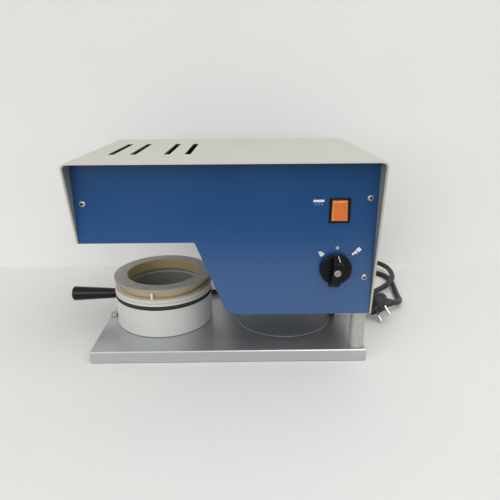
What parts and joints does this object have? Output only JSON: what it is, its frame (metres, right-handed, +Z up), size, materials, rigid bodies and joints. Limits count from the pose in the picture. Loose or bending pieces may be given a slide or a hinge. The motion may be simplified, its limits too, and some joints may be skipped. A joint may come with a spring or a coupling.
{
  "type": "dental thermoforming machine",
  "caption": "Bench machine that warms a plastic sheet over a sliding round pot and presses it with an air-driven bell, with a cover, selector knob, rocker switch and mains lead.",
  "frame": {"origin": "on the table under the middle of the machine's outer box, which runs from the handle's end to the cover screws and from the visor to the air inlet", "axes": "+X runs along the machine from the pot's handle to the control side, +Y to the rear, +Z up"},
  "size_m": [0.5449, 0.3872, 0.2715],
  "materials": {
    "cover_paint": "cream enamel, satin",
    "panel_blue": "dark blue enamel, satin",
    "base_grey": "grey, satin",
    "zinc_steel": "zinc plated, mottled",
    "screw_steel": "plated",
    "bright_steel": "turned, bright",
    "plain_aluminium": "machined",
    "pot_aluminium": "bead blasted, satin",
    "seat_silicone": "cast, matt",
    "gold_ring": "gold anodised, worn bright on top",
    "peg_white": "moulded",
    "black_rubber": "matt",
    "handle_black": "turned, glossy",
    "knob_black": "moulded, satin",
    "switch_black": "moulded",
    "rocker_orange": "translucent, glossy",
    "ceramic": "glazed ceramic",
    "heater_steel": "heat darkened",
    "reflector_aluminium": "spun, bright",
    "hose_blue": "extruded",
    "brass": "turned",
    "cord_black": "extruded, satin",
    "plug_black": "moulded, matt"
  },
  "bodies": {
    "root": {"base_plate": "base_grey", "foot_pads": "black_rubber", "press_seat": "plain_aluminium", "left_stop": "zinc_steel", "left_bumper": "black_rubber", "right_stop": "plain_aluminium", "right_bumper": "black_rubber", "position_sensor": "switch_black", "guide_rail": "plain_aluminium", "post_front_right": "zinc_steel", "post_rear_right": "zinc_steel", "post_rear_left": "zinc_steel", "post_screws": "screw_steel", "press_plate": "plain_aluminium", "tie_bars": "zinc_steel", "front_panel": "panel_blue", "rear_panel": "panel_blue", "housing_screws": "screw_steel", "cover_shell": "cover_paint", "heater_tray": "zinc_steel", "heater_reflector": "reflector_aluminium", "heating_elements": "heater_steel", "terminal_blocks": "ceramic", "heater_guard": "zinc_steel", "slope_skirt": "zinc_steel", "cylinder_barrel": "plain_aluminium", "cylinder_cap": "plain_aluminium", "cylinder_bolts": "screw_steel", "return_spring": "screw_steel", "switch_housing": "switch_black", "switch_blades": "brass", "selector_valve": "plain_aluminium", "panel_nuts": "screw_steel", "air_hoses": "hose_blue", "air_fittings": "brass", "air_inlet": "brass", "fuse_holder": "switch_black", "cord_gland": "plug_black", "cord_drop": "cord_black", "cord_coil": "cord_black", "cord_tail": "cord_black", "plug_body": "plug_black", "plug_pins": "bright_steel"},
    "pot": {"pot_body": "pot_aluminium", "pot_seal": "black_rubber", "foil_seat": "seat_silicone", "clamp_pegs": "peg_white", "handle_grip": "handle_black", "handle_stud": "screw_steel", "stub_pin": "knob_black"},
    "clamp": {"clamp_ring": "gold_ring"},
    "bell": {"pressure_bell": "plain_aluminium", "bell_seal": "black_rubber", "piston_rod": "bright_steel", "piston": "plain_aluminium", "piston_seal": "black_rubber"},
    "rocker": {"switch_rocker": "rocker_orange"},
    "knob": {"selector_knob": "knob_black", "selector_shaft": "screw_steel", "knob_screw": "screw_steel"}
  },
  "joints": [
    {"name": "pot_slide", "type": "slide", "parent": "root", "child": "pot", "axis": [1, 0, 0], "range_m": [0, 0.18]},
    {"name": "clamp_turn", "type": "hinge", "parent": "pot", "child": "clamp", "pos_m": [-0.0752, -0.0017, 0.08], "axis": [0, 0, 1], "range_deg": [0, 30]},
    {"name": "bell_press", "type": "slide", "parent": "root", "child": "bell", "axis": [0, 0, -1], "range_m": [0, 0.006], "stiffness_N_per_m": 4000, "springref_m": -0.015, "deforming": ["return_spring"]},
    {"name": "rocker_tilt", "type": "hinge", "parent": "root", "child": "rocker", "pos_m": [0.16305, -0.1085, 0.20895], "axis": [1, 0, 0], "range_deg": [0, 14]},
    {"name": "knob_turn", "type": "hinge", "parent": "root", "child": "knob", "pos_m": [0.1613, -0.1195, 0.1342], "axis": [0, 1, 0], "range_deg": [-51, 39]}
  ]
}
